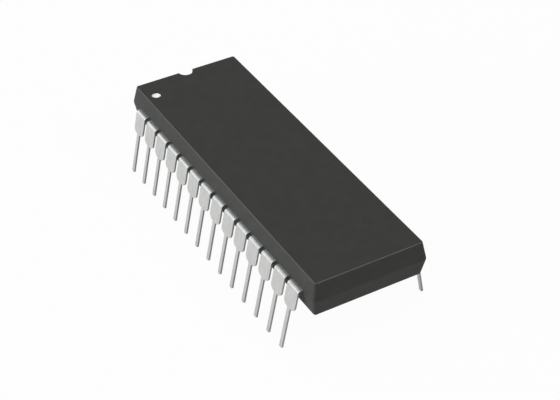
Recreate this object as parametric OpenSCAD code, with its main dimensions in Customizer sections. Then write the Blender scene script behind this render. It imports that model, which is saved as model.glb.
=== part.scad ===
// Integrated circuit in a moulded dual in-line package with 28 leads, rows 600 mil apart.
// The end with the notch and the white dot faces -X, lead 1 stands beside the dot on the -Y side,
// and the tips of the splayed leads stand on z = 0. All lengths are in millimetres.

/* [Moulded body] */
// Length of the body along its parting line
body_len = 39; // [38.4:0.02:40]
// Width of the body across its parting line
body_w = 13; // [12.6:0.02:13.4]
// Thickness of the body, top face to underside
body_t = 4.06; // [3.6:0.02:4.8]
// Draft of every side wall, above and below the parting line
draft_deg = 10; // [4:0.5:14]
// Radius of the four upright corners, seen from above
corner_r = 0.25; // [0.15:0.01:0.6]
// Rounding where the walls meet the top face and the underside
edge_r = 0.1; // [0.04:0.01:0.2]

/* [Notch, dot and ejector marks] */
// Radius of the half-round notch at the lead 1 end
notch_r = 0.85; // [0.6:0.01:1.2]
// How far the notch's centre lies beyond the end edge of the top face
notch_out = 0.04; // [0:0.01:0.3]
// Depth of the notch below the top face
notch_depth = 1.3; // [0.8:0.05:1.6]
// Diameter of the white dot, which fills the floor of a moulded recess
dot_d = 0.98; // [0.8:0.02:1.3]
// How much wider the recess is at its rim
dot_taper = 0.08; // [0.02:0.01:0.2]
// Depth of the recess
dot_depth = 0.16; // [0.08:0.01:0.25]
// Thickness of the white ink in it
ink_t = 0.03; // [0.02:0.01:0.06]
// Distance from the dot's centre to the long edge of the top face
dot_inset = 1.12; // [0.9:0.02:1.6]
// Diameter of each round ejector mark in the underside
ejector_d = 2.0; // [1:0.1:3]
// Depth of each ejector mark
ejector_depth = 0.08; // [0.04:0.01:0.15]
// Distance between the two ejector marks
ejector_span = 24; // [16:0.5:30]

/* [Leads outside the body] */
// Distance from one lead to the next in a row
pitch = 2.54; // [2.5:0.01:2.54]
// Thickness of the sheet that the lead frame is stamped from
sheet_t = 0.21; // [0.2:0.01:0.26]
// Width of the upper, wide part of a lead
wide_w = 2.0; // [1.9:0.02:2.1]
// Width of the narrow tail that enters the board
tail_w = 0.5; // [0.4:0.01:0.6]
// Height of the wide part's lower end above the tips
seat_z = 4.81; // [4.4:0.02:5]
// Gap from the wide part's lower end up to the underside of the body
standoff = 0.43; // [0.38:0.01:0.6]
// Radius of the wide part's lower corners
wide_corner_r = 0.6; // [0.4:0.02:0.64]
// Radius of the fillet where the tail leaves the wide part
tail_fillet_r = 0.1; // [0.04:0.01:0.12]
// Chamfer at the corners of the tip
tip_chamfer = 0.09; // [0.04:0.01:0.15]
// Outer radius of the bend at the shoulder
bend_r = 0.34; // [0.3:0.01:0.45]
// Distance from the middle of the body to the outer face of a tip
tip_y = 8.44; // [8.2:0.02:8.6]
// Angle by which a lead leans outwards before it is fitted
splay_deg = 10.9; // [9:0.1:12]

/* [Lead frame inside the body] */
// Length of the die pad
pad_len = 8.4; // [8:0.1:8.8]
// Width of the die pad
pad_w = 5.6; // [5.2:0.1:5.8]
// Step from the leads down to the die pad
pad_downset = 0.25; // [0.15:0.01:0.4]
// Width of the bars that held the pad while the body was moulded
tie_w = 0.5; // [0.4:0.02:0.56]
// Gap between the pad and the tips of the inner fingers
finger_gap = 0.4; // [0.3:0.02:0.5]
// Width of an inner finger at its tip
finger_tip_w = 0.4; // [0.3:0.02:0.44]
// Width of an inner finger where it leaves its root
finger_root_w = 1.2; // [0.9:0.05:1.3]

/* [Die and bond wires] */
// Length of the silicon die
die_len = 6.2; // [5.4:0.1:6.6]
// Width of the silicon die
die_w = 4.0; // [3.4:0.1:4.2]
// Thickness of the silicon die
die_t = 0.36; // [0.28:0.01:0.4]
// Thickness of the cement under the die
cement_t = 0.03; // [0.02:0.01:0.05]
// Thickness of the gold wire
wire_d = 0.03; // [0.025:0.005:0.05]
// Diameter of the ball that ends a wire on the die
ball_d = 0.09; // [0.07:0.01:0.12]
// Height of a wire loop above the die
loop_h = 0.24; // [0.15:0.01:0.35]

/* [Hidden] */
$fn = 64;
leads_per_row = 14;
lead_count = 2 * leads_per_row;
lead_colour = "gainsboro";

// Heights
body_bottom = seat_z + standoff;
body_top = body_bottom + body_t;
parting_z = body_bottom + body_t / 2;
frame_top = parting_z + sheet_t / 2;
frame_bottom = parting_z - sheet_t / 2;
pad_bottom = frame_bottom - pad_downset;
pad_top = frame_top - pad_downset;
die_top = pad_top + cement_t + die_t;

// The body's outline
draft_inset = body_t / 2 * tan(draft_deg);
edge_tangent = edge_r * tan((90 - draft_deg) / 2);
edge_steps = 3;
corner_steps = 6;
top_half_len = body_len / 2 - draft_inset;
top_half_w = body_w / 2 - draft_inset;
dot_pos = [-(leads_per_row - 1) / 2 * pitch, dot_inset - top_half_w];

// A lead's side view, drawn with y outwards: the shoulder runs flat to bend_y, turns about the
// centre of the bend by lean degrees, and the rest is straight down to the tip
lean = 90 - splay_deg;
corner_y = tip_y - frame_top * tan(splay_deg);
bend_y = corner_y - bend_r * tan(lean / 2);
bend_z = frame_top - bend_r;
bend_inner_r = bend_r - sheet_t;
shoulder_len = bend_y - body_w / 2 + 0.2;
straight_len = (bend_z + bend_inner_r * sin(splay_deg)) / cos(splay_deg);

// Inner fingers, numbered 0 to 6 from the middle of the body outwards. The first side_fingers
// of them reach a long side of the pad, and the others reach a short end
side_fingers = 3;
end_fingers = leads_per_row / 2 - side_fingers;
root_inner_y = body_w / 2 - 0.95;
turn_y = body_w / 2 - 1.15;
side_tip_pitch = 1.3;
side_tip_x = 0.7;
side_turn = 0.55;
end_tip_pitch = 0.75;
finger_mid_w = (finger_root_w + finger_tip_w) / 2 - 0.25;
lock_r = 0.16;
lock_y = body_w / 2 - 0.5;
tie_end_gap = 0.3;

// Where the wires meet the die and the fingers
stitch_in = 0.25;
die_edge_in = 0.15;
ball_h = 0.02;
stitch_len = 0.12;
cement_over = 0.1;

function lead_name(i) = str("lead_", i < 10 ? "0" : "", i);

// Leads count along -Y towards +X, and come back along +Y
function lead_x(i) =
    (i <= leads_per_row ? 1 : -1) * ((i - 1) % leads_per_row - (leads_per_row - 1) / 2) * pitch;
function lead_rank(i) = floor(abs(lead_x(i)) / pitch);
function rank_x(k) = (k + 0.5) * pitch;

// Outline of a strip of changing width along a path, with mitred turns
function unit(v) = v / norm(v);
function normal(v) = [-v.y, v.x];
function segment(path, i) = unit(path[i + 1] - path[i]);
function mitre(path, i) =
    let (
        before = normal(segment(path, max(i - 1, 0))),
        after = normal(segment(path, min(i, len(path) - 2))),
        middle = unit(before + after)
    ) middle / (middle * before);
function strip(path, widths) = concat(
    [for (i = [0:len(path) - 1]) path[i] + mitre(path, i) * widths[i] / 2],
    [for (i = [len(path) - 1:-1:0]) path[i] - mitre(path, i) * widths[i] / 2]
);

// The tip of each inner finger, and the spot on the die that its wire comes from
function is_side(k) = k < side_fingers;
function end_tip_y(k) = (side_fingers + end_fingers - k) * end_tip_pitch;
function finger_tip(k) = is_side(k)
    ? [side_tip_x + k * side_tip_pitch, pad_w / 2 + finger_gap]
    : [pad_len / 2 + finger_gap, end_tip_y(k)];
function finger_turn(k) = is_side(k)
    ? finger_tip(k) + [0, side_turn]
    : [rank_x(k) - turn_y + end_tip_y(k), end_tip_y(k)];
function finger_path(k) = [
    [rank_x(k), root_inner_y + 0.35], [rank_x(k), turn_y], finger_turn(k), finger_tip(k)
];
function stitch_spot(k) = finger_tip(k) + (is_side(k) ? [0, stitch_in] : [stitch_in, 0]);
function die_spot(k) = is_side(k)
    ? [finger_tip(k).x * 0.8, die_w / 2 - die_edge_in]
    : [die_len / 2 - die_edge_in, end_tip_y(k) * 0.55];

// One ring of the body's outline, drawn in by inset at the height z
function ring(inset, z) = [
    for (corner = [0:3], step = [0:corner_steps])
        let (
            angle = corner * 90 + step * 90 / corner_steps,
            sx = corner == 0 || corner == 3 ? 1 : -1,
            sy = corner < 2 ? 1 : -1
        ) [
            sx * (body_len / 2 - inset - corner_r) + corner_r * cos(angle),
            sy * (body_w / 2 - inset - corner_r) + corner_r * sin(angle),
            z
        ]
];

// The rounded edge between a drafted wall and a flat face, as an arc that touches both
function edge_turn(step) = draft_deg + (90 - draft_deg) * step / edge_steps;
function edge_inset(step) = draft_inset + edge_tangent - edge_r * cos(edge_turn(step));
function edge_drop(step) = edge_r * (1 - sin(edge_turn(step)));

module body_skin() {
    upper = [for (s = [0:edge_steps]) ring(edge_inset(s), body_top - edge_drop(s))];
    lower = [for (s = [edge_steps:-1:0]) ring(edge_inset(s), body_bottom + edge_drop(s))];
    rings = concat(lower, [ring(0, parting_z)], upper);
    count = len(rings[0]);
    last = (len(rings) - 1) * count;
    walls = [
        for (r = [0:len(rings) - 2], p = [0:count - 1])
            let (q = (p + 1) % count)
                [r * count + p, (r + 1) * count + p, (r + 1) * count + q, r * count + q]
    ];
    polyhedron(
        points = [for (r = rings, p = r) p],
        faces = concat([[for (p = [0:count - 1]) p]], walls, [[for (p = [count - 1:-1:0]) last + p]])
    );
}

// Draws its child, made for the +X +Y quarter of the body, at the place of lead i
module at_lead(i) {
    mirror([lead_x(i) < 0 ? 1 : 0, 0, 0]) mirror([0, i <= leads_per_row ? 1 : 0, 0]) children();
}

// Side view of the lead outside the body: shoulder, bend and straight leg
module lead_side_view() {
    far = 2 * bend_r;
    translate([bend_y, bend_z]) {
        translate([-shoulder_len, bend_inner_r]) square([shoulder_len, sheet_t]);
        intersection() {
            difference() {
                circle(bend_r);
                circle(bend_inner_r);
            }
            polygon([[0, 0], [0, far], [far, far], far * [cos(splay_deg), sin(splay_deg)]]);
        }
        rotate(splay_deg) translate([bend_inner_r, -straight_len]) square([sheet_t, straight_len]);
    }
}

// Front view of the same lead: the wide part with rounded lower corners, and the tail
module lead_front_view() {
    lower = seat_z + wide_corner_r;
    translate([-wide_w / 2, lower]) square([wide_w, body_top - lower]);
    translate([-wide_w / 2 + wide_corner_r, seat_z]) square([wide_w - 2 * wide_corner_r, wide_corner_r]);
    for (side = [-1, 1]) {
        translate([side * (wide_w / 2 - wide_corner_r), lower]) circle(wide_corner_r);
        translate([side * tail_w / 2, seat_z]) mirror([side < 0 ? 1 : 0, 0]) difference() {
            translate([0, -tail_fillet_r]) square(tail_fillet_r);
            translate([tail_fillet_r, -tail_fillet_r]) circle(tail_fillet_r);
        }
    }
    half = tail_w / 2;
    polygon([
        [-half, seat_z + wide_corner_r], [-half, tip_chamfer], [1.5 * tip_chamfer - half, -tip_chamfer / 2],
        [half - 1.5 * tip_chamfer, -tip_chamfer / 2], [half, tip_chamfer], [half, seat_z + wide_corner_r]
    ]);
}

// The flat part of lead k inside the body: a root with two locking bites, and the finger
module lead_inside(k) {
    translate([0, 0, frame_bottom]) linear_extrude(sheet_t) {
        difference() {
            translate([rank_x(k) - wide_w / 2, root_inner_y]) square([wide_w, body_w / 2 - root_inner_y]);
            for (side = [-1, 1]) translate([rank_x(k) + side * wide_w / 2, lock_y]) circle(lock_r);
        }
        polygon(strip(finger_path(k), [finger_root_w, finger_root_w, finger_mid_w, finger_tip_w]));
    }
}

module lead_outside(k) {
    translate([rank_x(k), 0, 0]) intersection() {
        rotate([90, 0, 90]) linear_extrude(wide_w, center = true) lead_side_view();
        rotate([90, 0, 0]) linear_extrude(4 * tip_y, center = true) lead_front_view();
    }
}

module lead(i) {
    color(lead_colour) at_lead(i) {
        lead_inside(lead_rank(i));
        lead_outside(lead_rank(i));
    }
}

// The pad that carries the die, with a bar at each end that steps up to the plane of the leads
module die_pad() {
    ramp_start = pad_len / 2 + 0.5;
    ramp_end = ramp_start + 1.5 * pad_downset;
    tie_end = body_len / 2 - tie_end_gap;
    color("darkgoldenrod") {
        translate([-pad_len / 2, -pad_w / 2, pad_bottom]) cube([pad_len, pad_w, sheet_t]);
        for (side = [0, 1]) mirror([side, 0, 0]) rotate([90, 0, 0]) linear_extrude(tie_w, center = true)
            polygon([
                [pad_len / 2, pad_bottom], [ramp_start, pad_bottom],
                [ramp_end, frame_bottom], [tie_end, frame_bottom],
                [tie_end, frame_top], [ramp_end, frame_top],
                [ramp_start, pad_top], [pad_len / 2, pad_top]
            ]);
    }
}

module die_cement() {
    color("lightgray") translate([0, 0, pad_top + cement_t / 2])
        cube([die_len + 2 * cement_over, die_w + 2 * cement_over, cement_t], center = true);
}

module silicon_die() {
    color("slategray") translate([0, 0, die_top - die_t / 2]) cube([die_len, die_w, die_t], center = true);
}

// One wire in its upright plane: up from the ball, over in a flat loop, down to a stitch
module bond_wire(k) {
    span = norm(stitch_spot(k) - die_spot(k));
    along = stitch_spot(k) - die_spot(k);
    stitch_z = frame_top - die_top + wire_d / 2;
    path = [
        [0, 0], [0, loop_h * 0.7], [span * 0.1, loop_h], [span * 0.55, loop_h * 0.85],
        [span * 0.85, loop_h * 0.3], [span, stitch_z], [span + stitch_len, stitch_z]
    ];
    translate([die_spot(k).x, die_spot(k).y, die_top]) {
        rotate([90, 0, atan2(along.y, along.x)]) linear_extrude(wire_d, center = true)
            polygon(strip(path, [for (p = path) wire_d]));
        cylinder(d = ball_d, h = ball_h, $fn = 12);
    }
}

module bond_wires() {
    color("gold") for (i = [1:lead_count]) at_lead(i) bond_wire(lead_rank(i));
}

module recess_for_dot() {
    translate([dot_pos.x, dot_pos.y, body_top - dot_depth])
        cylinder(d1 = dot_d, d2 = dot_d + 2 * dot_taper, h = 2 * dot_depth);
}

module pin_1_dot() {
    color("white") translate([dot_pos.x, dot_pos.y, body_top - dot_depth])
        cylinder(d1 = dot_d, d2 = dot_d + dot_taper * ink_t / dot_depth, h = ink_t);
}

module notch() {
    translate([-top_half_len - notch_out, 0, body_top - notch_depth])
        cylinder(r = notch_r, h = 2 * notch_depth);
}

module ejector_marks() {
    for (side = [-1, 1]) translate([side * ejector_span / 2, 0, body_bottom - ejector_depth])
        cylinder(d = ejector_d, h = 2 * ejector_depth);
}

module package_body() {
    color([0.24, 0.24, 0.235]) difference() {
        body_skin();
        notch();
        recess_for_dot();
        ejector_marks();
        die_pad();
        die_cement();
        silicon_die();
        bond_wires();
        for (i = [1:lead_count]) lead(i);
    }
}

package_body();
pin_1_dot();
die_pad();
die_cement();
silicon_die();
bond_wires();
for (i = [1:lead_count]) lead(i);
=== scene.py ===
import math

import bmesh
import bpy
from mathutils import Matrix, Vector


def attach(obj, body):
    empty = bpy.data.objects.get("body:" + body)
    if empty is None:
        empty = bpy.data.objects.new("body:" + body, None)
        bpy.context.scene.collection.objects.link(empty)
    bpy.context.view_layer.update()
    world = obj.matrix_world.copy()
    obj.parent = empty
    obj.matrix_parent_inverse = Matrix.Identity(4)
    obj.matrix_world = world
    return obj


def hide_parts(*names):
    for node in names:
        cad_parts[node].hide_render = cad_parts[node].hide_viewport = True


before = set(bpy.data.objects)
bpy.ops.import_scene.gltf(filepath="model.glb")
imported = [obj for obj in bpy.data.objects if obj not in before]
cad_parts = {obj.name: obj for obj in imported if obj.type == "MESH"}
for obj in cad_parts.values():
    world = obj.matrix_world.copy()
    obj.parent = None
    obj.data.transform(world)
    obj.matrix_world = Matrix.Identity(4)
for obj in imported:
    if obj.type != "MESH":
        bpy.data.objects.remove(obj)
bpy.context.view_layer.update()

mm = 0.001

# Where the camera stands: azimuth and elevation in degrees, distances in millimetres.
# sideways and upward slide it across its own view, and focalPixels is for a picture 560 wide
cameraView = {
    "azimuth": 59.83,
    "elevation": 38.31,
    "distance": 166.56,
    "sideways": 1.0,
    "upward": 3.02,
    "focalPixels": 1544.6,
    "pictureWidth": 560,
    "sensorWidth": 36,
    "nearest": 5,
    "farthest": 10000,
}

print("camera")


def makeCamera():
    azimuth = math.radians(cameraView["azimuth"])
    elevation = math.radians(cameraView["elevation"])
    back = Vector((
        math.sin(azimuth) * math.cos(elevation),
        -math.cos(azimuth) * math.cos(elevation),
        math.sin(elevation),
    ))
    right = Vector((math.cos(azimuth), math.sin(azimuth), 0))
    up = back.cross(right)
    data = bpy.data.cameras.new("photoCamera")
    camera = bpy.data.objects.new("photoCamera", data)
    bpy.context.scene.collection.objects.link(camera)
    place = (
        back * cameraView["distance"]
        + right * cameraView["sideways"]
        + up * cameraView["upward"]
    )
    turn = Matrix((right, up, back)).transposed()
    camera.matrix_world = Matrix.Translation(place * mm) @ turn.to_4x4()
    data.sensor_width = cameraView["sensorWidth"]
    data.lens = cameraView["sensorWidth"] * cameraView["focalPixels"] / cameraView["pictureWidth"]
    data.clip_start = cameraView["nearest"] * mm
    data.clip_end = cameraView["farthest"] * mm
    bpy.context.scene.camera = camera


makeCamera()

print("materials")


def startMaterial(name):
    material = bpy.data.materials.new(name)
    material.use_nodes = True
    nodes = material.node_tree.nodes
    links = material.node_tree.links
    return material, nodes, links, nodes["Principled BSDF"]


def addNoise(nodes, links, place, scale, detail, stretch=(1, 1, 1)):
    mapping = nodes.new("ShaderNodeMapping")
    mapping.inputs["Scale"].default_value = stretch
    links.new(place.outputs["Object"], mapping.inputs["Vector"])
    noise = nodes.new("ShaderNodeTexNoise")
    noise.inputs["Scale"].default_value = scale
    noise.inputs["Detail"].default_value = detail
    links.new(mapping.outputs["Vector"], noise.inputs["Vector"])
    return noise


def addRamp(nodes, links, source, low, high, lowAt=0.3, highAt=0.7):
    ramp = nodes.new("ShaderNodeValToRGB")
    ramp.color_ramp.elements[0].position = lowAt
    ramp.color_ramp.elements[0].color = (*low, 1)
    ramp.color_ramp.elements[1].position = highAt
    ramp.color_ramp.elements[1].color = (*high, 1)
    links.new(source, ramp.inputs["Fac"])
    return ramp


def addRange(nodes, links, source, low, high, fromLow=0.3, fromHigh=0.7):
    spread = nodes.new("ShaderNodeMapRange")
    spread.inputs["From Min"].default_value = fromLow
    spread.inputs["From Max"].default_value = fromHigh
    spread.inputs["To Min"].default_value = low
    spread.inputs["To Max"].default_value = high
    links.new(source, spread.inputs["Value"])
    return spread


def addBump(nodes, links, shader, height, strength, distance):
    bump = nodes.new("ShaderNodeBump")
    bump.inputs["Strength"].default_value = strength
    bump.inputs["Distance"].default_value = distance
    links.new(height, bump.inputs["Height"])
    links.new(bump.outputs["Normal"], shader.inputs["Normal"])


def addMark(nodes, name):
    # the number that markFaces gave each face
    mark = nodes.new("ShaderNodeAttribute")
    mark.attribute_name = name
    return mark.outputs["Fac"]


def addBlend(nodes, links, mark, plain, marked):
    # plain and marked are ramps, and the mark says how much of the second shows
    blend = nodes.new("ShaderNodeMix")
    blend.data_type = "RGBA"
    links.new(mark, blend.inputs["Factor"])
    links.new(plain.outputs["Color"], blend.inputs[6])      # the node's colour sockets
    links.new(marked.outputs["Color"], blend.inputs[7])
    return blend.outputs[2]


def addBounced(nodes, links, path):
    # 1 for a ray that comes off a shiny surface or through a clear one
    bounced = nodes.new("ShaderNodeMath")
    bounced.operation = "MAXIMUM"
    links.new(path.outputs["Is Glossy Ray"], bounced.inputs[0])
    links.new(path.outputs["Is Transmission Ray"], bounced.inputs[1])
    return bounced.outputs[0]


def addShaderMix(nodes, links, share, first, second):
    mix = nodes.new("ShaderNodeMixShader")
    links.new(share, mix.inputs[0])
    links.new(first.outputs[0], mix.inputs[1])
    links.new(second.outputs[0], mix.inputs[2])
    return mix


# Moulded epoxy: spark-eroded matt skin with a faint flow mottle, burnished glossier and smoother
# on the sharp edges, which also get a lighter colour as a painted highlight
epoxy = {
    "dark": (0.0264, 0.0262, 0.0236),
    "light": (0.0312, 0.0310, 0.0279),
    "edgeHighlightDark": (0.038, 0.038, 0.036),
    "edgeHighlightLight": (0.048, 0.048, 0.046),
    "mottleScale": 900,
    "mottleDetail": 4,
    "grainScale": 16000,
    "grainDetail": 3,
    "grainStrength": 0.35,
    "grainDepth": 0.000004,
    "roughness": (0.5, 0.62),
    "gloss": 0.3,
    "edgeGloss": 0.55,
    "edgeSmoothness": 0.45,       # share of the plain roughness
}


def makeEpoxy():
    material, nodes, links, shader = startMaterial("mouldedEpoxy")
    place = nodes.new("ShaderNodeTexCoord")
    mottle = addNoise(nodes, links, place, epoxy["mottleScale"], epoxy["mottleDetail"])
    grain = addNoise(nodes, links, place, epoxy["grainScale"], epoxy["grainDetail"])
    burnishAndHighlight = addMark(nodes, "burnishAndHighlight")
    plain = addRamp(nodes, links, mottle.outputs["Fac"], epoxy["dark"], epoxy["light"])
    # the lighter colour on the edge faces is a painted highlight, while their gloss and smoothness
    # are the burnish
    edges = addRamp(nodes, links, grain.outputs["Fac"], epoxy["edgeHighlightDark"], epoxy["edgeHighlightLight"])
    links.new(addBlend(nodes, links, burnishAndHighlight, plain, edges), shader.inputs["Base Color"])
    rough = addRange(nodes, links, grain.outputs["Fac"], *epoxy["roughness"])
    smoother = addRange(nodes, links, burnishAndHighlight, 1, epoxy["edgeSmoothness"], 0, 1)
    wornRough = nodes.new("ShaderNodeMath")
    wornRough.operation = "MULTIPLY"
    links.new(rough.outputs["Result"], wornRough.inputs[0])
    links.new(smoother.outputs["Result"], wornRough.inputs[1])
    links.new(wornRough.outputs[0], shader.inputs["Roughness"])
    gloss = addRange(nodes, links, burnishAndHighlight, epoxy["gloss"], epoxy["edgeGloss"], 0, 1)
    links.new(gloss.outputs["Result"], shader.inputs["Specular IOR Level"])
    addBump(
        nodes, links, shader, grain.outputs["Fac"], epoxy["grainStrength"], epoxy["grainDepth"],
    )
    return material


# Tin plate over the stamped strip: satin, with faint streaks down the lead, and duller and darker
# on the sheared sides, where the darker colour is partly their sheared finish and partly painted
# shade
tin = {
    "dark": (0.69, 0.695, 0.68),
    "light": (0.80, 0.805, 0.79),
    "shearedShadeDark": (0.29, 0.29, 0.275),
    "shearedShadeLight": (0.37, 0.37, 0.35),
    "streakScale": 5200,
    "streakDetail": 3,
    "streakStretch": (1, 0.5, 0.12),
    "streakStrength": 0.25,
    "streakDepth": 0.000006,
    "grainScale": 14000,
    "grainDetail": 2,
    "roughness": (0.26, 0.37),
}


def makeTin():
    material, nodes, links, shader = startMaterial("tinPlate")
    place = nodes.new("ShaderNodeTexCoord")
    streak = addNoise(
        nodes, links, place, tin["streakScale"], tin["streakDetail"], tin["streakStretch"],
    )
    grain = addNoise(nodes, links, place, tin["grainScale"], tin["grainDetail"])
    shearedAndShaded = addMark(nodes, "shearedAndShaded")
    plain = addRamp(nodes, links, streak.outputs["Fac"], tin["dark"], tin["light"])
    # the darker colour on the sheared sides is partly their duller finish and partly painted shade
    sides = addRamp(nodes, links, grain.outputs["Fac"], tin["shearedShadeDark"], tin["shearedShadeLight"])
    links.new(addBlend(nodes, links, shearedAndShaded, plain, sides), shader.inputs["Base Color"])
    rough = addRange(nodes, links, grain.outputs["Fac"], *tin["roughness"])
    links.new(rough.outputs["Result"], shader.inputs["Roughness"])
    addBump(
        nodes, links, shader, streak.outputs["Fac"], tin["streakStrength"], tin["streakDepth"],
    )
    shader.inputs["Metallic"].default_value = 1
    return material


# Plain finishes of the small and the sealed pieces, with a fine grain. Its scale is in 1/m and
# its depth in metres
finishes = {
    "whiteInk": {
        "dark": (0.92, 0.92, 0.90), "light": (0.97, 0.97, 0.95), "roughness": (0.5, 0.65),
        "metal": 0, "grainScale": 9000, "grainDepth": 0.000006,
    },
    "copperAlloy": {
        "dark": (0.62, 0.34, 0.20), "light": (0.74, 0.44, 0.28), "roughness": (0.3, 0.45),
        "metal": 1, "grainScale": 6000, "grainDepth": 0.000003,
    },
    "silverCement": {
        "dark": (0.42, 0.42, 0.40), "light": (0.60, 0.60, 0.58), "roughness": (0.5, 0.7),
        "metal": 0, "grainScale": 20000, "grainDepth": 0.000006,
    },
    "goldWire": {
        "dark": (0.80, 0.52, 0.16), "light": (0.90, 0.64, 0.24), "roughness": (0.2, 0.3),
        "metal": 1, "grainScale": 15000, "grainDepth": 0.000001,
    },
}
finishGrain = {"detail": 3, "strength": 0.4}


def makeFinish(name):
    finish = finishes[name]
    material, nodes, links, shader = startMaterial(name)
    place = nodes.new("ShaderNodeTexCoord")
    grain = addNoise(nodes, links, place, finish["grainScale"], finishGrain["detail"])
    ramp = addRamp(nodes, links, grain.outputs["Fac"], finish["dark"], finish["light"])
    links.new(ramp.outputs["Color"], shader.inputs["Base Color"])
    rough = addRange(nodes, links, grain.outputs["Fac"], *finish["roughness"])
    links.new(rough.outputs["Result"], shader.inputs["Roughness"])
    addBump(
        nodes, links, shader, grain.outputs["Fac"], finishGrain["strength"], finish["grainDepth"],
    )
    shader.inputs["Metallic"].default_value = finish["metal"]
    return material


# The die: polished silicon with blocks of circuitry laid out as courses of plain cells
siliconLook = {
    "cellA": (0.10, 0.13, 0.20),
    "cellB": (0.19, 0.16, 0.22),
    "lines": (0.42, 0.42, 0.45),
    "scale": 900,
    "roughness": (0.15, 0.4),
    "metal": 0.6,
}


def makeSilicon():
    material, nodes, links, shader = startMaterial("silicon")
    place = nodes.new("ShaderNodeTexCoord")
    cells = nodes.new("ShaderNodeTexBrick")
    cells.inputs["Scale"].default_value = siliconLook["scale"]
    cells.inputs["Color1"].default_value = (*siliconLook["cellA"], 1)
    cells.inputs["Color2"].default_value = (*siliconLook["cellB"], 1)
    cells.inputs["Mortar"].default_value = (*siliconLook["lines"], 1)
    links.new(place.outputs["Object"], cells.inputs["Vector"])
    links.new(cells.outputs["Color"], shader.inputs["Base Color"])
    rough = addRange(nodes, links, cells.outputs["Fac"], *siliconLook["roughness"], 0, 1)
    links.new(rough.outputs["Result"], shader.inputs["Roughness"])
    shader.inputs["Metallic"].default_value = siliconLook["metal"]
    return material


# Every CAD node gets its material, also the sealed ones. A node with no line here is a lead
inkMaterial = makeFinish("whiteInk")
epoxyMaterial = makeEpoxy()
tinMaterial = makeTin()
nodeLooks = {
    "package_body": epoxyMaterial,
    "pin_1_dot": inkMaterial,
    "die_pad": makeFinish("copperAlloy"),
    "die_cement": makeFinish("silverCement"),
    "silicon_die": makeSilicon(),
    "bond_wires": makeFinish("goldWire"),
}
for name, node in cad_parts.items():
    node.data.materials.clear()
    node.data.materials.append(nodeLooks.get(name, tinMaterial))

# Pieces are modelled in millimetres, and settlePiece brings each one down to metres
tiny = 0.001          # points closer than this count as one place
squarely = 0.9        # least share of a face's normal along the way that it is said to face


def takeAlone(piece):
    bpy.ops.object.select_all(action="DESELECT")
    piece.select_set(True)
    bpy.context.view_layer.objects.active = piece


def openMesh(piece):
    takeAlone(piece)
    bpy.ops.object.mode_set(mode="EDIT")


def closeMesh():
    bpy.ops.object.mode_set(mode="OBJECT")


def pickFaces(piece, wanted):
    bpy.ops.mesh.select_mode(type="FACE")
    bpy.ops.mesh.select_all(action="DESELECT")
    shape = bmesh.from_edit_mesh(piece.data)
    for face in shape.faces:
        face.select_set(wanted(face.calc_center_median(), face.normal))
    bmesh.update_edit_mesh(piece.data)


def pickEdges(piece, wanted):
    bpy.ops.mesh.select_mode(type="EDGE")
    bpy.ops.mesh.select_all(action="DESELECT")
    shape = bmesh.from_edit_mesh(piece.data)
    for edge in shape.edges:
        edge.select_set(wanted(edge.verts[0].co, edge.verts[1].co))
    bmesh.update_edit_mesh(piece.data)


def pickPoints(piece, wanted):
    bpy.ops.mesh.select_mode(type="VERT")
    bpy.ops.mesh.select_all(action="DESELECT")
    shape = bmesh.from_edit_mesh(piece.data)
    for point in shape.verts:
        point.select_set(wanted(point.co))
    shape.select_flush(True)
    bmesh.update_edit_mesh(piece.data)


def applyModifier(piece, kind, **settings):
    takeAlone(piece)
    modifier = piece.modifiers.new(kind.lower(), kind)
    for setting, value in settings.items():
        setattr(modifier, setting, value)
    bpy.ops.object.modifier_apply(modifier=modifier.name)


def markFaces(piece, name, level):
    # a number for each face, which the material reads
    mark = piece.data.attributes.new(name, "FLOAT", "FACE")
    for face in piece.data.polygons:
        mark.data[face.index].value = level(face.normal)


def cutAway(piece, cutter):
    applyModifier(piece, "BOOLEAN", operation="DIFFERENCE", solver="EXACT", object=cutter)
    bpy.data.objects.remove(cutter)


def settlePiece(piece, name, node, material):
    takeAlone(piece)
    piece.scale = (mm, mm, mm)
    bpy.ops.object.transform_apply(location=True, rotation=True, scale=True)
    piece.name = name
    piece.data.name = name
    piece.data.materials.clear()
    piece.data.materials.append(material)
    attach(piece, "root")
    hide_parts(node)


print("moulded body")

# All lengths from here on are in millimetres and angles in degrees, and heights are above the
# lead tips
body = {
    "length": 39.0,
    "width": 13.0,
    "thickness": 4.06,
    "bottom": 5.24,
    "draft": 10,
    "cornerRadius": 0.25,
    "edgeRounding": 0.084,
    "partingSoftness": 0.18,
    "partingLift": 0.02,
    "notchRadius": 0.85,
    "notchOut": 0.04,
    "notchDepth": 1.3,
    "notchRounding": 0.45,       # share of edgeRounding
    "dotDiameter": 0.98,
    "dotTaper": 0.08,
    "dotDepth": 0.16,
    "dotPlace": (-16.51, -5.02),
    "ejectorDiameter": 2.0,
    "ejectorDepth": 0.08,
    "ejectorSpan": 24,
    "rimRounding": 0.02,
    "burnishAndHighlightSlopes": (0.25, 0.98),   # range of an edge face's slope, as its normal's upright share, for the faces that get the burnish and a painted highlight
}
bodyTop = body["bottom"] + body["thickness"]
partingHeight = body["bottom"] + body["thickness"] / 2
draftInset = body["thickness"] / 2 * math.tan(math.radians(body["draft"]))
notchX = draftInset - body["length"] / 2 - body["notchOut"]


def makeNotchCutter():
    depth = body["notchDepth"]
    bpy.ops.mesh.primitive_cylinder_add(
        vertices=96, radius=body["notchRadius"], depth=2 * depth,
        location=(notchX, 0, bodyTop),
    )
    return bpy.context.active_object


def makeDotCutter():
    depth = body["dotDepth"]
    floorRadius = body["dotDiameter"] / 2
    bpy.ops.mesh.primitive_cone_add(
        vertices=64, depth=2 * depth, location=(*body["dotPlace"], bodyTop),
        radius1=floorRadius, radius2=floorRadius + body["dotTaper"],
    )
    return bpy.context.active_object


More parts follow.
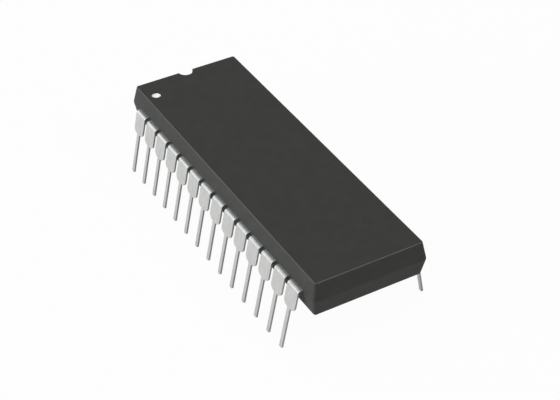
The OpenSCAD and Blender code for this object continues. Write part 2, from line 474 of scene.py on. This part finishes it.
def makeEjectorCutter(side):
    bpy.ops.mesh.primitive_cylinder_add(
        vertices=96, radius=body["ejectorDiameter"] / 2, depth=2 * body["ejectorDepth"],
        location=(side * body["ejectorSpan"] / 2, 0, body["bottom"]),
    )
    return bpy.context.active_object


def onNotch(point):
    height = point.z - bodyTop + body["notchDepth"]
    return math.hypot(point.x - notchX, point.y) < body["notchRadius"] + tiny and height > -tiny


def makeBody():
    # drawn a little large, as softening the parting edge takes that much off again
    lift = 2 * body["partingLift"]
    length, width, thickness = body["length"] + lift, body["width"] + lift, body["thickness"]
    bpy.ops.mesh.primitive_cube_add(
        size=1, location=(0, 0, partingHeight), scale=(length, width, thickness),
    )
    bpy.ops.object.transform_apply(location=True, rotation=True, scale=True)
    piece = bpy.context.active_object
    openMesh(piece)
    pickEdges(piece, lambda a, b: abs(a.z - b.z) > tiny)
    bpy.ops.mesh.bevel(offset=body["cornerRadius"], segments=8, affect="EDGES")
    bpy.ops.mesh.select_all(action="SELECT")
    bpy.ops.mesh.bisect(plane_co=(0, 0, partingHeight), plane_no=(0, 0, 1))
    # both faces drawn in, which gives the walls their draft
    for height in (bodyTop, body["bottom"]):
        pickFaces(piece, lambda centre, normal: abs(centre.z - height) < tiny)
        bpy.ops.transform.resize(
            value=(1 - 2 * draftInset / length, 1 - 2 * draftInset / width, 1),
            center_override=(0, 0, height),
        )
    pickEdges(piece, lambda a, b: abs(a.z - partingHeight) + abs(b.z - partingHeight) < tiny)
    bpy.ops.mesh.bevel(offset=body["partingSoftness"], segments=4, affect="EDGES")
    closeMesh()
    cutAway(piece, makeNotchCutter())
    openMesh(piece)
    bpy.ops.mesh.select_mode(type="EDGE")
    bpy.ops.mesh.select_all(action="DESELECT")
    bpy.ops.mesh.edges_select_sharp(sharpness=math.radians(35))
    bpy.ops.transform.edge_bevelweight(value=1)
    # the notch has closer rounding than the body
    pickEdges(piece, lambda a, b: onNotch(a) and onNotch(b))
    bpy.ops.transform.edge_bevelweight(value=body["notchRounding"] - 1)
    closeMesh()
    applyModifier(
        piece, "BEVEL", width=body["edgeRounding"], segments=4, limit_method="WEIGHT",
        use_clamp_overlap=False,
    )
    cutAway(piece, makeDotCutter())
    for side in (-1, 1):
        cutAway(piece, makeEjectorCutter(side))
    applyModifier(
        piece, "BEVEL", width=body["rimRounding"], segments=2, limit_method="ANGLE",
        angle_limit=math.radians(50), use_clamp_overlap=True,
    )
    bpy.ops.object.shade_smooth_by_angle(angle=math.radians(40))
    applyModifier(piece, "WEIGHTED_NORMAL", keep_sharp=True)
    low, high = body["burnishAndHighlightSlopes"]
    # edge faces marked for their burnish and their painted highlight colour
    markFaces(piece, "burnishAndHighlight", lambda normal: 1.0 if low < abs(normal.z) < high else 0.0)
    settlePiece(piece, "mouldedBody", "package_body", epoxyMaterial)


# The ink creeps up the recess's wall and sinks towards the middle, in rings with these insets
# and drops
ink = {
    "thickness": 0.03,
    "rings": ((0.02, 0.004), (0.06, 0.006), (0.12, 0.003)),
}


def makeDotInk():
    bpy.ops.mesh.primitive_circle_add(
        vertices=64, radius=body["dotDiameter"] / 2, fill_type="NGON",
        location=(*body["dotPlace"], bodyTop - body["dotDepth"]),
    )
    bpy.ops.object.transform_apply(location=True, rotation=True, scale=True)
    piece = bpy.context.active_object
    openMesh(piece)
    bpy.ops.mesh.select_all(action="SELECT")
    bpy.ops.mesh.extrude_region_move(TRANSFORM_OT_translate={"value": (0, 0, ink["thickness"])})
    for inset, drop in ink["rings"]:
        bpy.ops.mesh.inset(thickness=inset, depth=0)
        bpy.ops.transform.translate(value=(0, 0, -drop))
    bpy.ops.mesh.select_all(action="SELECT")
    bpy.ops.mesh.normals_make_consistent(inside=False)
    closeMesh()
    bpy.ops.object.shade_smooth_by_angle(angle=math.radians(40))
    settlePiece(piece, "dotInk", "pin_1_dot", inkMaterial)


makeBody()
makeDotInk()

print("leads")

# A lead is formed for the +Y row, with its shoulder along +Y
lead = {
    "pitch": 2.54,
    "perRow": 14,
    "sheet": 0.21,
    "wideWidth": 2.0,
    "tailWidth": 0.5,
    "seatHeight": 4.81,
    "wideCorner": 0.6,
    "tailFillet": 0.1,
    "tipChamfer": 0.09,
    "bendRadius": 0.34,
    "tipReach": 8.44,
    "splay": 10.9,
    "bendSteps": 10,
    "cornerSteps": 6,
    "filletSteps": 3,
    "stampedEdge": 0.022,
    "rootInside": 0.95,
    "lockRadius": 0.16,
    "lockInside": 0.5,
    "lockSteps": 6,
    "shearedAndShaded": 0.8,              # least share of a sheared side's normal along the row, for the sides that get their duller finish and painted shade
}
splay = math.radians(lead["splay"])
lean = math.pi / 2 - splay
frameTop = partingHeight + lead["sheet"] / 2
cornerReach = lead["tipReach"] - frameTop * math.tan(splay)
bendReach = cornerReach - lead["bendRadius"] * math.tan(lean / 2)
bendHeight = frameTop - lead["bendRadius"]
bendInner = lead["bendRadius"] - lead["sheet"]
legLength = (bendHeight + bendInner * math.sin(splay)) / math.cos(splay)
rootEnd = body["width"] / 2 - lead["rootInside"]
lockPlace = body["width"] / 2 - lead["lockInside"]


def drawEnd(shift, ratio):
    # the picked end face goes out by shift, and its width changes by ratio
    bpy.ops.mesh.extrude_region_move(TRANSFORM_OT_translate={"value": shift})
    bpy.ops.transform.resize(value=(ratio, 1, 1), center_override=(0, 0, 0))


def rootStations():
    # place and half width along the two locking bites, and at the end of the plain root
    half, bite = lead["wideWidth"] / 2, lead["lockRadius"]
    stations = []
    for step in range(1, lead["lockSteps"] + 1):
        turn = step * math.pi / lead["lockSteps"]
        stations.append((lockPlace + bite * math.cos(turn), half - bite * math.sin(turn)))
    stations.append((rootEnd, half))
    return stations


def legStations():
    # distance from the tip along the leg, and half width, from the wide part down to the tip
    half, tail = lead["wideWidth"] / 2, lead["tailWidth"] / 2
    corner, fillet, chamfer = lead["wideCorner"], lead["tailFillet"], lead["tipChamfer"]
    seat = lead["seatHeight"]
    stations = [(seat + corner, half)]
    for step in range(1, lead["cornerSteps"] + 1):
        turn = step * math.pi / (2 * lead["cornerSteps"])
        sunk, drawnIn = corner * (1 - math.sin(turn)), corner * (1 - math.cos(turn))
        stations.append((seat + sunk, half - drawnIn))
    for step in range(1, lead["filletSteps"] + 1):
        turn = step * math.pi / (2 * lead["filletSteps"])
        sunk, drawnIn = fillet * (1 - math.cos(turn)), fillet * (1 - math.sin(turn))
        stations.append((seat - sunk, tail + drawnIn))
    stations += [(chamfer, tail), (0, tail - chamfer)]
    return [(height / math.cos(splay), width) for height, width in stations]


def makeFormedLead():
    half = lead["wideWidth"] / 2
    start = lockPlace + lead["lockRadius"]
    bpy.ops.mesh.primitive_cube_add(
        size=1, location=(0, (start + bendReach) / 2, frameTop - lead["sheet"] / 2),
        scale=(lead["wideWidth"], bendReach - start, lead["sheet"]),
    )
    bpy.ops.object.transform_apply(location=True, rotation=True, scale=True)
    piece = bpy.context.active_object
    openMesh(piece)
    pickFaces(piece, lambda centre, normal: normal.y < -squarely)
    here, wide = start, half
    for place, nextWide in rootStations():
        drawEnd((0, place - here, 0), nextWide / wide)
        here, wide = place, nextWide
    # the bend, as the forming tool wipes the leg down over the shoulder
    pickFaces(piece, lambda centre, normal: centre.y > bendReach - tiny)
    bpy.ops.mesh.spin(
        steps=lead["bendSteps"], angle=lean, center=(0, bendReach, bendHeight), axis=(1, 0, 0),
    )
    down = Vector((0, math.sin(splay), -math.cos(splay)))
    here, wide = legLength, half
    for place, nextWide in legStations():
        drawEnd(down * (here - place), nextWide / wide)
        here, wide = place, nextWide
    bpy.ops.mesh.select_all(action="SELECT")
    bpy.ops.mesh.remove_doubles(threshold=0.0005)
    bpy.ops.mesh.normals_make_consistent(inside=False)
    closeMesh()
    piece.name = "formedLead"
    return piece


# Inner fingers, ranked from the middle of the body outwards. The first few of each quarter reach
# a long side of the die pad, and the others a short end
finger = {
    "sideCount": 3,
    "rootWidth": 1.2,
    "middleWidth": 0.55,
    "tipWidth": 0.4,
    "rootRun": 1,
    "rootStep": 0.05,
    "turnInside": 1.15,
    "gap": 0.4,
    "padLength": 8.4,
    "padWidth": 5.6,
    "sideTipX": 0.7,
    "sideTipPitch": 1.3,
    "sideTurn": 0.55,
    "endTipPitch": 0.75,
}


def fingerPath(rank):
    x = (rank + 0.5) * lead["pitch"]
    turnY = body["width"] / 2 - finger["turnInside"]
    if rank < finger["sideCount"]:
        tip = Vector((
            finger["sideTipX"] + rank * finger["sideTipPitch"],
            finger["padWidth"] / 2 + finger["gap"],
        ))
        turn = tip + Vector((0, finger["sideTurn"]))
    else:
        tip = Vector((
            finger["padLength"] / 2 + finger["gap"],
            (lead["perRow"] / 2 - rank) * finger["endTipPitch"],
        ))
        turn = Vector((x - turnY + tip.y, tip.y))
    return [Vector((x, turnY + finger["rootRun"])), Vector((x, turnY)), turn, tip]


def fingerSides(rank):
    # the two sides of the finger, with mitred turns, as pairs of points
    path = fingerPath(rank)
    widths = [finger[part] for part in ("rootWidth", "rootWidth", "middleWidth", "tipWidth")]
    pairs = []
    for i, point in enumerate(path):
        before = (path[max(i, 1)] - path[max(i, 1) - 1]).normalized().orthogonal()
        j = min(i + 1, len(path) - 1)
        after = (path[j] - path[j - 1]).normalized().orthogonal()
        mitre = (before + after).normalized()
        mitre = mitre / mitre.dot(before) * widths[i] / 2
        pairs.append((point + mitre, point - mitre))
    # the straight cut behind the root, and the one where the outer side turns
    cuts = []
    for height in (rootEnd - finger["rootStep"], min(pairs[1][0].y, pairs[1][1].y)):
        cut = []
        for side in (0, 1):
            line = [pair[side] for pair in pairs]
            low, high = (line[1], line[0]) if height > line[1].y else (line[2], line[1])
            share = (height - low.y) / (high.y - low.y)
            cut.append(low.lerp(high, share))
        cuts.append(cut)
    return cuts + [list(pair) for pair in pairs[2:]]


def addFinger(piece, place):
    # the root's end face goes in along the finger, and then its two sides move to their points
    rank = int(abs(place) / lead["pitch"])
    side = 1 if place > 0 else -1
    half = lead["wideWidth"] / 2
    sides = [Vector((place + half, rootEnd)), Vector((place - half, rootEnd))]
    openMesh(piece)
    pickFaces(
        piece, lambda centre, normal: normal.y < -squarely and abs(centre.y - rootEnd) < tiny,
    )
    for pair in fingerSides(rank):
        goal = [Vector((side * point.x, point.y)) for point in pair]
        if (goal[0] - goal[1]).dot(sides[0] - sides[1]) < 0:
            goal.reverse()
        shift = goal[0] - sides[0]
        bpy.ops.mesh.extrude_region_move(TRANSFORM_OT_translate={"value": (*shift, 0)})
        loose = sides[1] + shift
        pickPoints(piece, lambda co: (co.xy - loose).length < tiny)
        bpy.ops.transform.translate(value=(*(goal[1] - loose), 0))
        pickPoints(piece, lambda co: min((co.xy - point).length for point in goal) < tiny)
        bpy.ops.mesh.select_mode(type="FACE")
        sides = goal
    closeMesh()


def copyPiece(piece, turned):
    twin = piece.copy()
    twin.data = piece.data.copy()
    bpy.context.scene.collection.objects.link(twin)
    twin.data.transform(turned)
    return twin


def finishLead(piece, number):
    name = f"{number:02d}"
    settlePiece(piece, "platedLead" + name, "lead_" + name, tinMaterial)


def makeLeads():
    formed = makeFormedLead()
    halfTurn = Matrix.Rotation(math.pi, 4, "Z")
    for count in range(lead["perRow"]):
        place = ((lead["perRow"] - 1) / 2 - count) * lead["pitch"]
        piece = copyPiece(formed, Matrix.Translation((place, 0, 0)))
        addFinger(piece, place)
        takeAlone(piece)
        bpy.ops.object.shade_smooth_by_angle(angle=math.radians(30))
        applyModifier(
            piece, "BEVEL", width=lead["stampedEdge"], segments=2, limit_method="ANGLE",
            angle_limit=math.radians(40), harden_normals=True, use_clamp_overlap=False,
        )
        markFaces(piece, "shearedAndShaded", lambda normal: 1.0 if abs(normal.x) > lead["shearedAndShaded"] else 0.0)
        twin = copyPiece(piece, halfTurn)
        finishLead(piece, lead["perRow"] + 1 + count)
        finishLead(twin, 1 + count)
    bpy.data.objects.remove(formed)


makeLeads()

print("floor and light")

# A matt floor in metres, with the shares of plain white that the camera and reflections see in it
floorLook = {
    "size": 4,
    "colour": (0.62, 0.62, 0.62),
    "roughness": 0.9,
    "whiteSeen": 0.96,
    "whiteReflected": 0.3,
}


def addWhiteShare(nodes, links):
    # how much plain white a ray sees in place of the lit floor
    path = nodes.new("ShaderNodeLightPath")
    seen = nodes.new("ShaderNodeMath")
    seen.operation = "MULTIPLY"
    seen.inputs[1].default_value = floorLook["whiteSeen"]
    links.new(path.outputs["Is Camera Ray"], seen.inputs[0])
    share = nodes.new("ShaderNodeMath")
    share.operation = "MULTIPLY_ADD"
    share.inputs[1].default_value = floorLook["whiteReflected"]
    links.new(addBounced(nodes, links, path), share.inputs[0])
    links.new(seen.outputs[0], share.inputs[2])
    return share.outputs[0]


def makeFloor():
    bpy.ops.object.select_all(action="DESELECT")
    bpy.ops.mesh.primitive_plane_add(size=floorLook["size"], location=(0, 0, 0))
    floor = bpy.context.active_object
    floor.name = "studioFloor"
    material, nodes, links, shader = startMaterial("studioFloor")
    shader.inputs["Base Color"].default_value = (*floorLook["colour"], 1)
    shader.inputs["Roughness"].default_value = floorLook["roughness"]
    shader.inputs["Specular IOR Level"].default_value = 0
    white = nodes.new("ShaderNodeEmission")
    mix = addShaderMix(nodes, links, addWhiteShare(nodes, links), shader, white)
    links.new(mix.outputs[0], nodes["Material Output"].inputs["Surface"])
    floor.data.materials.append(material)


# Matt surfaces get one soft level from all round. Reflections see a room with a level at the
# horizon and one overhead, each on the side of the key box and on the far side
worldLook = {
    "softLevel": 0.25,
    "horizonKey": 0.25,
    "horizonFar": 0.1,
    "ceilingKey": 0.37,
    "ceilingFar": 0.4,
    "ceilingFrom": 0.2,
    "ceilingTo": 0.5,
    "ceilingColour": (0.82, 0.93, 1),
    "keySide": (-0.74, -0.67, 0),
    "farFrom": 0.1,
    "farTo": -0.6,
}


def makeWorld():
    world = bpy.data.worlds.new("studio")
    bpy.context.scene.world = world
    world.use_nodes = True
    nodes = world.node_tree.nodes
    links = world.node_tree.links
    soft = nodes["Background"]
    soft.inputs["Color"].default_value = (1, 1, 1, 1)
    soft.inputs["Strength"].default_value = worldLook["softLevel"]
    white = nodes.new("ShaderNodeBackground")
    white.inputs["Color"].default_value = (1, 1, 1, 1)
    white.inputs["Strength"].default_value = 1
    path = nodes.new("ShaderNodeLightPath")
    place = nodes.new("ShaderNodeTexCoord")
    direction = nodes.new("ShaderNodeSeparateXYZ")
    links.new(place.outputs["Generated"], direction.inputs[0])
    side = nodes.new("ShaderNodeVectorMath")
    side.operation = "DOT_PRODUCT"
    side.inputs[1].default_value = worldLook["keySide"]
    links.new(place.outputs["Generated"], side.inputs[0])
    ceiling = (worldLook["ceilingFrom"], worldLook["ceilingTo"])
    height = addRange(nodes, links, direction.outputs["Z"], 0, 1, *ceiling)
    level = nodes.new("ShaderNodeMix")
    links.new(height.outputs["Result"], level.inputs["Factor"])
    for end, far, near in (("A", "horizonFar", "horizonKey"), ("B", "ceilingFar", "ceilingKey")):
        # Map Range wants its lower end first
        share = addRange(
            nodes, links, side.outputs["Value"], worldLook[far], worldLook[near],
            worldLook["farTo"], worldLook["farFrom"],
        )
        links.new(share.outputs["Result"], level.inputs[end])
    room = nodes.new("ShaderNodeBackground")
    tint = addRamp(
        nodes, links, direction.outputs["Z"], (1, 1, 1), worldLook["ceilingColour"], *ceiling,
    )
    links.new(tint.outputs["Color"], room.inputs["Color"])
    links.new(level.outputs["Result"], room.inputs["Strength"])
    lit = addShaderMix(nodes, links, addBounced(nodes, links, path), soft, room)
    seen = addShaderMix(nodes, links, path.outputs["Is Camera Ray"], lit, white)
    links.new(seen.outputs[0], nodes["World Output"].inputs["Surface"])


# Soft boxes: direction, distance and size in metres, power in watts. A matt one lights matt
# surfaces only, and no reflection shows it
lamps = {
    "keyBox": {
        "towards": (-0.68, -0.62, 0.33), "distance": 1.0, "size": (2.2, 0.6), "power": 4.15,
        "colour": (0.96, 0.985, 1),
    },
    "sideBox": {
        "towards": (-0.1, -0.95, 0.25), "distance": 1.0, "size": (0.8, 0.5), "power": 10.6,
        "colour": (0.98, 0.99, 1), "matt": True,
    },
    "topBox": {
        "towards": (0.1, -0.15, 0.98), "distance": 1.0, "size": (1.7, 1.7), "power": 7.8,
        "colour": (1, 1, 1),
    },
    "backBox": {
        "towards": (0.62, 0.39, 0.68), "distance": 1.0, "size": (0.4, 0.4), "power": 2.0,
        "colour": (1, 0.99, 0.97),
    },
}


def makeLamps():
    for name, lamp in lamps.items():
        data = bpy.data.lights.new(name, "AREA")
        data.shape = "RECTANGLE"
        data.size, data.size_y = lamp["size"]
        data.energy = lamp["power"]
        data.color = lamp["colour"]
        box = bpy.data.objects.new(name, data)
        bpy.context.scene.collection.objects.link(box)
        towards = Vector(lamp["towards"]).normalized()
        box.location = towards * lamp["distance"]
        box.rotation_mode = "QUATERNION"
        box.rotation_quaternion = (-towards).to_track_quat("-Z", "Y")
        box.visible_glossy = not lamp.get("matt")


makeFloor()
makeWorld()
makeLamps()
bpy.context.scene.view_settings.view_transform = "Standard"
